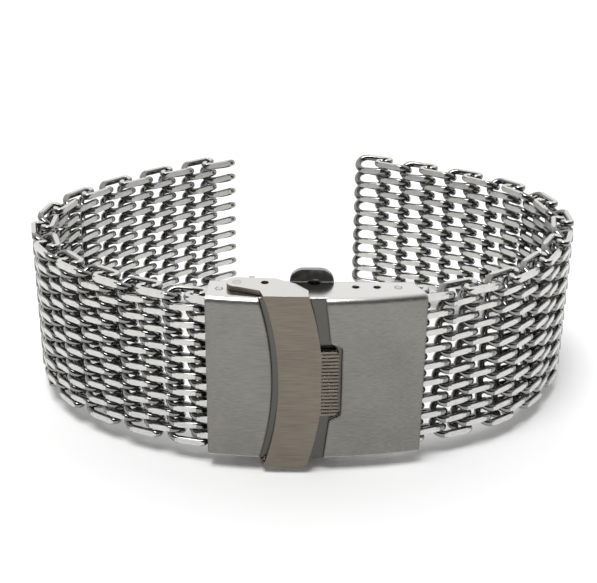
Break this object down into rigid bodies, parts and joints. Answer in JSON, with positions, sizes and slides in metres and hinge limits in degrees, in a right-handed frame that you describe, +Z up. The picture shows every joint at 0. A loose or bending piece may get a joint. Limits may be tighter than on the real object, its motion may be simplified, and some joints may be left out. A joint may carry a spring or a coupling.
{
  "type": "shark mesh watch bracelet",
  "caption": "Open shark mesh watch bracelet of threaded steel wire coils with a folding push-button clasp and a flip-lock.",
  "frame": {"origin": "middle of the floor under the bracelet's bounding box", "axes": "+X to the right seen from outside the clasp, the clasp towards -Y, +Z up along the band's width"},
  "size_m": [0.0772, 0.0558, 0.027],
  "materials": {
    "mesh_steel": "polished wire with satin ground faces",
    "satin_steel": "satin, fine brushing along the band",
    "flap_steel": "satin, slightly warmer",
    "pin_steel": "turned and polished",
    "button_steel": "polished"
  },
  "bodies": {
    "clasp_base": {"end_plate": "satin_steel", "lower_blade": "satin_steel", "flip_lock_pin": "pin_steel", "blade_hinge_pin": "pin_steel", "spring_bar_left": "pin_steel"},
    "middle_blade": {"middle_blade": "satin_steel"},
    "clasp_cover": {"clasp_cover": "satin_steel", "cover_hinge_pin": "pin_steel", "spring_bar_right": "pin_steel", "button_spring_upper": "pin_steel", "button_spring_lower": "pin_steel"},
    "flip_lock": {"flip_lock": "flap_steel"},
    "push_button_upper": {"push_button_upper": "button_steel"},
    "push_button_lower": {"push_button_lower": "button_steel"},
    "row_right_22": {"mesh_row_right_22": "mesh_steel"},
    "row_right_21": {"mesh_row_right_21": "mesh_steel"},
    "row_right_20": {"mesh_row_right_20": "mesh_steel"},
    "row_right_19": {"mesh_row_right_19": "mesh_steel"},
    "row_right_18": {"mesh_row_right_18": "mesh_steel"},
    "row_right_17": {"mesh_row_right_17": "mesh_steel"},
    "row_right_16": {"mesh_row_right_16": "mesh_steel"},
    "row_right_15": {"mesh_row_right_15": "mesh_steel"},
    "row_right_14": {"mesh_row_right_14": "mesh_steel"},
    "row_right_13": {"mesh_row_right_13": "mesh_steel"},
    "row_right_12": {"mesh_row_right_12": "mesh_steel"},
    "row_right_11": {"mesh_row_right_11": "mesh_steel"},
    "row_right_10": {"mesh_row_right_10": "mesh_steel"},
    "row_right_09": {"mesh_row_right_09": "mesh_steel"},
    "row_right_08": {"mesh_row_right_08": "mesh_steel"},
    "row_right_07": {"mesh_row_right_07": "mesh_steel"},
    "row_right_06": {"mesh_row_right_06": "mesh_steel"},
    "row_right_05": {"mesh_row_right_05": "mesh_steel"},
    "row_right_04": {"mesh_row_right_04": "mesh_steel"},
    "row_right_03": {"mesh_row_right_03": "mesh_steel"},
    "row_right_02": {"mesh_row_right_02": "mesh_steel"},
    "row_right_01": {"mesh_row_right_01": "mesh_steel"},
    "row_left_22": {"mesh_row_left_22": "mesh_steel"},
    "row_left_21": {"mesh_row_left_21": "mesh_steel"},
    "row_left_20": {"mesh_row_left_20": "mesh_steel"},
    "row_left_19": {"mesh_row_left_19": "mesh_steel"},
    "row_left_18": {"mesh_row_left_18": "mesh_steel"},
    "row_left_17": {"mesh_row_left_17": "mesh_steel"},
    "row_left_16": {"mesh_row_left_16": "mesh_steel"},
    "row_left_15": {"mesh_row_left_15": "mesh_steel"},
    "row_left_14": {"mesh_row_left_14": "mesh_steel"},
    "row_left_13": {"mesh_row_left_13": "mesh_steel"},
    "row_left_12": {"mesh_row_left_12": "mesh_steel"},
    "row_left_11": {"mesh_row_left_11": "mesh_steel"},
    "row_left_10": {"mesh_row_left_10": "mesh_steel"},
    "row_left_09": {"mesh_row_left_09": "mesh_steel"},
    "row_left_08": {"mesh_row_left_08": "mesh_steel"},
    "row_left_07": {"mesh_row_left_07": "mesh_steel"},
    "row_left_06": {"mesh_row_left_06": "mesh_steel"},
    "row_left_05": {"mesh_row_left_05": "mesh_steel"},
    "row_left_04": {"mesh_row_left_04": "mesh_steel"},
    "row_left_03": {"mesh_row_left_03": "mesh_steel"},
    "row_left_02": {"mesh_row_left_02": "mesh_steel"},
    "row_left_01": {"mesh_row_left_01": "mesh_steel"}
  },
  "joints": [
    {"name": "flip_lock_swing", "type": "hinge", "parent": "clasp_base", "child": "flip_lock", "pos_m": [-0.00867, -0.02383, 0.0135], "axis": [0, 0, -1], "range_deg": [0, 105]},
    {"name": "middle_blade_fold", "type": "hinge", "parent": "clasp_base", "child": "middle_blade", "pos_m": [0.01033, -0.0203, 0.0135], "axis": [0, 0, 1], "range_deg": [0, 46.2]},
    {"name": "cover_fold", "type": "hinge", "parent": "middle_blade", "child": "clasp_cover", "pos_m": [-0.00202, -0.02073, 0.0135], "axis": [0, 0, -1], "range_deg": [0, 46.2]},
    {"name": "push_button_upper_press", "type": "slide", "parent": "clasp_cover", "child": "push_button_upper", "axis": [0, 0, -1], "range_m": [0, 0.0008], "stiffness_N_per_m": 200, "springref_m": -0.003, "deforming": ["button_spring_upper"]},
    {"name": "push_button_lower_press", "type": "slide", "parent": "clasp_cover", "child": "push_button_lower", "axis": [0, 0, 1], "range_m": [0, 0.0008], "stiffness_N_per_m": 200, "springref_m": -0.003, "deforming": ["button_spring_lower"]},
    {"name": "right_bar_swing", "type": "hinge", "parent": "clasp_cover", "child": "row_right_22", "pos_m": [0.01158, -0.02353, 0.0135], "axis": [0, 0, -1], "range_deg": [-4, 1]},
    {"name": "right_row_21_hinge", "type": "hinge", "parent": "row_right_22", "child": "row_right_21", "pos_m": [0.01454, -0.02279, 0.0135], "axis": [0, 0, -1], "range_deg": [-0.23, 3.68]},
    {"name": "right_row_20_hinge", "type": "hinge", "parent": "row_right_21", "child": "row_right_20", "pos_m": [0.01788, -0.02173, 0.0135], "axis": [0, 0, -1], "range_deg": [-0.23, 3.68]},
    {"name": "right_row_19_hinge", "type": "hinge", "parent": "row_right_20", "child": "row_right_19", "pos_m": [0.02114, -0.02045, 0.0135], "axis": [0, 0, -1], "range_deg": [-0.23, 3.68]},
    {"name": "right_row_18_hinge", "type": "hinge", "parent": "row_right_19", "child": "row_right_18", "pos_m": [0.02431, -0.01897, 0.0135], "axis": [0, 0, -1], "range_deg": [-0.57, 9.34]},
    {"name": "right_row_17_hinge", "type": "hinge", "parent": "row_right_18", "child": "row_right_17", "pos_m": [0.0272, -0.017, 0.0135], "axis": [0, 0, -1], "range_deg": [-0.57, 9.34]},
    {"name": "right_row_16_hinge", "type": "hinge", "parent": "row_right_17", "child": "row_right_16", "pos_m": [0.02973, -0.01458, 0.0135], "axis": [0, 0, -1], "range_deg": [-0.57, 9.34]},
    {"name": "right_row_15_hinge", "type": "hinge", "parent": "row_right_16", "child": "row_right_15", "pos_m": [0.03184, -0.01179, 0.0135], "axis": [0, 0, -1], "range_deg": [-0.35, 5.68]},
    {"name": "right_row_14_hinge", "type": "hinge", "parent": "row_right_15", "child": "row_right_14", "pos_m": [0.03366, -0.0088, 0.0135], "axis": [0, 0, -1], "range_deg": [-0.35, 5.68]},
    {"name": "right_row_13_hinge", "type": "hinge", "parent": "row_right_14", "child": "row_right_13", "pos_m": [0.03517, -0.00564, 0.0135], "axis": [0, 0, -1], "range_deg": [-0.35, 5.68]},
    {"name": "right_row_12_hinge", "type": "hinge", "parent": "row_right_13", "child": "row_right_12", "pos_m": [0.03637, -0.00236, 0.0135], "axis": [0, 0, -1], "range_deg": [-0.7, 11.51]},
    {"name": "right_row_11_hinge", "type": "hinge", "parent": "row_right_12", "child": "row_right_11", "pos_m": [0.03689, 0.00112, 0.0135], "axis": [0, 0, -1], "range_deg": [-0.7, 11.51]},
    {"name": "right_band_open", "type": "hinge", "parent": "row_right_11", "child": "row_right_10", "pos_m": [0.03671, 0.00467, 0.0135], "axis": [0, 0, -1], "range_deg": [-0.7, 11.67]},
    {"name": "right_row_09_hinge", "type": "hinge", "parent": "row_right_10", "child": "row_right_09", "pos_m": [0.0358, 0.00813, 0.0135], "axis": [0, 0, -1], "range_deg": [-0.71, 11.68]},
    {"name": "right_row_08_hinge", "type": "hinge", "parent": "row_right_09", "child": "row_right_08", "pos_m": [0.03421, 0.01134, 0.0135], "axis": [0, 0, -1], "range_deg": [-0.71, 11.68]},
    {"name": "right_row_07_hinge", "type": "hinge", "parent": "row_right_08", "child": "row_right_07", "pos_m": [0.03199, 0.01418, 0.0135], "axis": [0, 0, -1], "range_deg": [-0.58, 9.51]},
    {"name": "right_row_06_hinge", "type": "hinge", "parent": "row_right_07", "child": "row_right_06", "pos_m": [0.02933, 0.01663, 0.0135], "axis": [0, 0, -1], "range_deg": [-0.58, 9.51]},
    {"name": "right_row_05_hinge", "type": "hinge", "parent": "row_right_06", "child": "row_right_05", "pos_m": [0.02627, 0.01861, 0.0135], "axis": [0, 0, -1], "range_deg": [-0.25, 4.01]},
    {"name": "right_row_04_hinge", "type": "hinge", "parent": "row_right_05", "child": "row_right_04", "pos_m": [0.02305, 0.02039, 0.0135], "axis": [0, 0, -1], "range_deg": [-0.25, 4.01]},
    {"name": "right_row_03_hinge", "type": "hinge", "parent": "row_right_04", "child": "row_right_03", "pos_m": [0.01968, 0.02197, 0.0135], "axis": [0, 0, -1], "range_deg": [-0.07, 1.01]},
    {"name": "right_row_02_hinge", "type": "hinge", "parent": "row_right_03", "child": "row_right_02", "pos_m": [0.01625, 0.02349, 0.0135], "axis": [0, 0, -1], "range_deg": [-0.07, 1.01]},
    {"name": "right_row_01_hinge", "type": "hinge", "parent": "row_right_02", "child": "row_right_01", "pos_m": [0.01279, 0.02496, 0.0135], "axis": [0, 0, -1], "range_deg": [-0.07, 1.01]},
    {"name": "left_bar_swing", "type": "hinge", "parent": "clasp_base", "child": "row_left_22", "pos_m": [-0.01087, -0.02433, 0.0135], "axis": [0, 0, 1], "range_deg": [-4, 1]},
    {"name": "left_row_21_hinge", "type": "hinge", "parent": "row_left_22", "child": "row_left_21", "pos_m": [-0.01376, -0.02377, 0.0135], "axis": [0, 0, 1], "range_deg": [-0.31, 5.01]},
    {"name": "left_row_20_hinge", "type": "hinge", "parent": "row_left_21", "child": "row_left_20", "pos_m": [-0.01692, -0.02286, 0.0135], "axis": [0, 0, 1], "range_deg": [-0.31, 5.01]},
    {"name": "left_row_19_hinge", "type": "hinge", "parent": "row_left_20", "child": "row_left_19", "pos_m": [-0.02, -0.02168, 0.0135], "axis": [0, 0, 1], "range_deg": [-0.31, 5.01]},
    {"name": "left_row_18_hinge", "type": "hinge", "parent": "row_left_19", "child": "row_left_18", "pos_m": [-0.02297, -0.02023, 0.0135], "axis": [0, 0, 1], "range_deg": [-0.29, 4.68]},
    {"name": "left_row_17_hinge", "type": "hinge", "parent": "row_left_18", "child": "row_left_17", "pos_m": [-0.02583, -0.01854, 0.0135], "axis": [0, 0, 1], "range_deg": [-0.29, 4.68]},
    {"name": "left_row_16_hinge", "type": "hinge", "parent": "row_left_17", "child": "row_left_16", "pos_m": [-0.02855, -0.01661, 0.0135], "axis": [0, 0, 1], "range_deg": [-0.29, 4.68]},
    {"name": "left_row_15_hinge", "type": "hinge", "parent": "row_left_16", "child": "row_left_15", "pos_m": [-0.03111, -0.01445, 0.0135], "axis": [0, 0, 1], "range_deg": [-0.59, 9.68]},
    {"name": "left_row_14_hinge", "type": "hinge", "parent": "row_left_15", "child": "row_left_14", "pos_m": [-0.03329, -0.01188, 0.0135], "axis": [0, 0, 1], "range_deg": [-0.59, 9.68]},
    {"name": "left_row_13_hinge", "type": "hinge", "parent": "row_left_14", "child": "row_left_13", "pos_m": [-0.03502, -0.00897, 0.0135], "axis": [0, 0, 1], "range_deg": [-0.59, 9.68]},
    {"name": "left_row_12_hinge", "type": "hinge", "parent": "row_left_13", "child": "row_left_12", "pos_m": [-0.03624, -0.00579, 0.0135], "axis": [0, 0, 1], "range_deg": [-0.64, 10.51]},
    {"name": "left_row_11_hinge", "type": "hinge", "parent": "row_left_12", "child": "row_left_11", "pos_m": [-0.03686, -0.00243, 0.0135], "axis": [0, 0, 1], "range_deg": [-0.64, 10.51]},
    {"name": "left_band_open", "type": "hinge", "parent": "row_left_11", "child": "row_left_10", "pos_m": [-0.03686, 0.00103, 0.0135], "axis": [0, 0, 1], "range_deg": [-0.74, 12.33]},
    {"name": "left_row_09_hinge", "type": "hinge", "parent": "row_left_10", "child": "row_left_09", "pos_m": [-0.03612, 0.00442, 0.0135], "axis": [0, 0, 1], "range_deg": [-0.75, 12.34]},
    {"name": "left_row_08_hinge", "type": "hinge", "parent": "row_left_09", "child": "row_left_08", "pos_m": [-0.03467, 0.00758, 0.0135], "axis": [0, 0, 1], "range_deg": [-0.75, 12.34]},
    {"name": "left_row_07_hinge", "type": "hinge", "parent": "row_left_08", "child": "row_left_07", "pos_m": [-0.03257, 0.01037, 0.0135], "axis": [0, 0, 1], "range_deg": [-0.37, 6.01]},
    {"name": "left_row_06_hinge", "type": "hinge", "parent": "row_left_07", "child": "row_left_06", "pos_m": [-0.03016, 0.01295, 0.0135], "axis": [0, 0, 1], "range_deg": [-0.37, 6.01]},
    {"name": "left_row_05_hinge", "type": "hinge", "parent": "row_left_06", "child": "row_left_05", "pos_m": [-0.02746, 0.0153, 0.0135], "axis": [0, 0, 1], "range_deg": [-0.19, 3.01]},
    {"name": "left_row_04_hinge", "type": "hinge", "parent": "row_left_05", "child": "row_left_04", "pos_m": [-0.0246, 0.01753, 0.0135], "axis": [0, 0, 1], "range_deg": [-0.19, 3.01]},
    {"name": "left_row_03_hinge", "type": "hinge", "parent": "row_left_04", "child": "row_left_03", "pos_m": [-0.02159, 0.01964, 0.0135], "axis": [0, 0, 1], "range_deg": [-0.09, 1.34]},
    {"name": "left_row_02_hinge", "type": "hinge", "parent": "row_left_03", "child": "row_left_02", "pos_m": [-0.01852, 0.02169, 0.0135], "axis": [0, 0, 1], "range_deg": [-0.09, 1.34]},
    {"name": "left_row_01_hinge", "type": "hinge", "parent": "row_left_02", "child": "row_left_01", "pos_m": [-0.01537, 0.02368, 0.0135], "axis": [0, 0, 1], "range_deg": [-0.09, 1.34]}
  ],
  "couplings": [
    {"joint": "middle_blade_fold", "follows": "flip_lock_swing", "ratio": 0.44},
    {"joint": "cover_fold", "follows": "flip_lock_swing", "ratio": 0.44},
    {"joint": "right_row_21_hinge", "follows": "right_band_open", "ratio": 0.31431},
    {"joint": "right_row_20_hinge", "follows": "right_band_open", "ratio": 0.31422},
    {"joint": "right_row_19_hinge", "follows": "right_band_open", "ratio": 0.31431},
    {"joint": "right_row_18_hinge", "follows": "right_band_open", "ratio": 0.79995},
    {"joint": "right_row_17_hinge", "follows": "right_band_open", "ratio": 0.80003},
    {"joint": "right_row_16_hinge", "follows": "right_band_open", "ratio": 0.79995},
    {"joint": "right_row_15_hinge", "follows": "right_band_open", "ratio": 0.48573},
    {"joint": "right_row_14_hinge", "follows": "right_band_open", "ratio": 0.48564},
    {"joint": "right_row_13_hinge", "follows": "right_band_open", "ratio": 0.48573},
    {"joint": "right_row_12_hinge", "follows": "right_band_open", "ratio": 0.98569},
    {"joint": "right_row_11_hinge", "follows": "right_band_open", "ratio": 0.98569},
    {"joint": "right_row_09_hinge", "follows": "right_band_open", "ratio": 0.99991},
    {"joint": "right_row_08_hinge", "follows": "right_band_open", "ratio": 1},
    {"joint": "right_row_07_hinge", "follows": "right_band_open", "ratio": 0.81426},
    {"joint": "right_row_06_hinge", "follows": "right_band_open", "ratio": 0.81426},
    {"joint": "right_row_05_hinge", "follows": "right_band_open", "ratio": 0.34285},
    {"joint": "right_row_04_hinge", "follows": "right_band_open", "ratio": 0.34285},
    {"joint": "right_row_03_hinge", "follows": "right_band_open", "ratio": 0.08571},
    {"joint": "right_row_02_hinge", "follows": "right_band_open", "ratio": 0.08571},
    {"joint": "right_row_01_hinge", "follows": "right_band_open", "ratio": 0.08571},
    {"joint": "left_row_21_hinge", "follows": "left_band_open", "ratio": 0.40542},
    {"joint": "left_row_20_hinge", "follows": "left_band_open", "ratio": 0.40542},
    {"joint": "left_row_19_hinge", "follows": "left_band_open", "ratio": 0.40542},
    {"joint": "left_row_18_hinge", "follows": "left_band_open", "ratio": 0.37842},
    {"joint": "left_row_17_hinge", "follows": "left_band_open", "ratio": 0.37833},
    {"joint": "left_row_16_hinge", "follows": "left_band_open", "ratio": 0.37842},
    {"joint": "left_row_15_hinge", "follows": "left_band_open", "ratio": 0.78383},
    {"joint": "left_row_14_hinge", "follows": "left_band_open", "ratio": 0.78375},
    {"joint": "left_row_13_hinge", "follows": "left_band_open", "ratio": 0.78383},
    {"joint": "left_row_12_hinge", "follows": "left_band_open", "ratio": 0.85137},
    {"joint": "left_row_11_hinge", "follows": "left_band_open", "ratio": 0.85137},
    {"joint": "left_row_09_hinge", "follows": "left_band_open", "ratio": 1.0001},
    {"joint": "left_row_08_hinge", "follows": "left_band_open", "ratio": 1},
    {"joint": "left_row_07_hinge", "follows": "left_band_open", "ratio": 0.4865},
    {"joint": "left_row_06_hinge", "follows": "left_band_open", "ratio": 0.4865},
    {"joint": "left_row_05_hinge", "follows": "left_band_open", "ratio": 0.24325},
    {"joint": "left_row_04_hinge", "follows": "left_band_open", "ratio": 0.24325},
    {"joint": "left_row_03_hinge", "follows": "left_band_open", "ratio": 0.10808},
    {"joint": "left_row_02_hinge", "follows": "left_band_open", "ratio": 0.10817},
    {"joint": "left_row_01_hinge", "follows": "left_band_open", "ratio": 0.10808}
  ]
}
